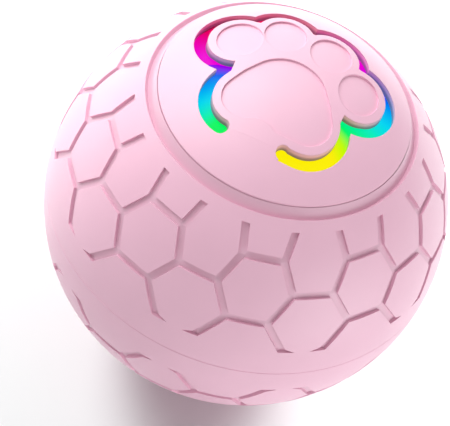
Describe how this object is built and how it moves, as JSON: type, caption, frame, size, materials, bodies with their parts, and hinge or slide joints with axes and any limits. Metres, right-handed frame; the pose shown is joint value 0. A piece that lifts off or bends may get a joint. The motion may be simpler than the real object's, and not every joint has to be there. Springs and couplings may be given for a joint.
{
  "type": "vibrating dog ball",
  "caption": "Round motor-driven ball with honeycomb grooves, a lit paw-print button at one pole and a plugged charging port at the other.",
  "frame": {"origin": "The ball's centre, at the middle of the parting line's plane.", "axes": "+Z out through the middle of the paw cap and -Z out through the charging cap; +Y from the paw's main pad towards its toes; +X to the right of someone who reads the paw upright. The weight's axle lies along X."},
  "size_m": [0.085, 0.085, 0.0848],
  "materials": {
    "ball_pink": "pink moulded ABS with a soft-touch satin skin",
    "paw_pink": "pink moulded ABS with a satin skin",
    "seal_rubber": "soft silicone",
    "plug_rubber": "soft silicone",
    "screw_steel": "zinc-plated steel",
    "frosted_white": "frosted white plastic",
    "board_green": "green solder mask on glass-fibre board",
    "lamp_white": "white lamp bodies under clear resin",
    "black_plastic": "black moulded plastic",
    "plunger_red": "red moulded plastic",
    "chassis_grey": "dark grey moulded plastic",
    "cell_blue": "metal can in a blue shrink sleeve",
    "foam_black": "closed-cell foam",
    "axle_steel": "ground steel rod",
    "bush_brass": "turned brass",
    "gear_nylon": "natural nylon",
    "weight_steel": "sintered steel",
    "motor_steel": "drawn nickel-plated steel"
  },
  "bodies": {
    "ball": {"upper_shell": "ball_pink", "lower_shell": "ball_pink", "equator_seal": "seal_rubber", "shell_screws": "screw_steel", "paw_cap": "paw_pink", "cap_screws": "screw_steel", "light_diffuser": "frosted_white", "light_board": "board_green", "light_leds": "lamp_white", "switch_body": "black_plastic", "chassis_deck": "chassis_grey", "battery_cell": "cell_blue", "battery_foam": "foam_black", "battery_cradle": "chassis_grey", "cradle_screws": "screw_steel", "motor_frame": "chassis_grey", "bearing_frame": "chassis_grey", "frame_screws": "screw_steel", "axle_bushes": "bush_brass", "motor_can": "motor_steel", "motor_end_cap": "black_plastic", "motor_terminals": "bush_brass", "motor_screws": "screw_steel", "control_board": "board_green", "control_screws": "screw_steel", "board_chips": "black_plastic", "motion_sensor": "motor_steel", "wire_sockets": "frosted_white", "charge_cap": "ball_pink", "charge_board": "board_green", "charge_screws": "screw_steel", "charge_socket": "motor_steel", "socket_tongue": "black_plastic"},
    "paw_button": {"paw_button": "paw_pink"},
    "switch_plunger": {"switch_plunger": "plunger_red"},
    "weight_rotor": {"weight_axle": "axle_steel", "axle_clips": "screw_steel", "drive_gear": "gear_nylon", "swing_weight": "weight_steel", "weight_rivets": "screw_steel"},
    "motor_rotor": {"motor_shaft": "axle_steel", "motor_pinion": "bush_brass"},
    "port_plug": {"port_plug": "plug_rubber"}
  },
  "joints": [
    {"name": "paw_press", "type": "hinge", "parent": "ball", "child": "paw_button", "pos_m": [-0.00335, -0.01678, 0.0362], "axis": [-0.9957, 0.0931, 0], "range_deg": [0, 1.2], "stiffness_Nm_per_rad": 2},
    {"name": "plunger_press", "type": "slide", "parent": "ball", "child": "switch_plunger", "axis": [0, 0, -1], "range_m": [0, 0.0003]},
    {"name": "weight_spin", "type": "hinge", "parent": "ball", "child": "weight_rotor", "pos_m": [0, 0, 0], "axis": [1, 0, 0], "continuous": true},
    {"name": "motor_spin", "type": "hinge", "parent": "ball", "child": "motor_rotor", "pos_m": [0, 0, 0.01355], "axis": [1, 0, 0], "continuous": true},
    {"name": "plug_pull", "type": "slide", "parent": "ball", "child": "port_plug", "axis": [0, 0, -1], "range_m": [0, 0.006]}
  ],
  "couplings": [
    {"joint": "plunger_press", "follows": "paw_press", "m_per_rad": 0.0143},
    {"joint": "motor_spin", "follows": "weight_spin", "ratio": -4}
  ]
}
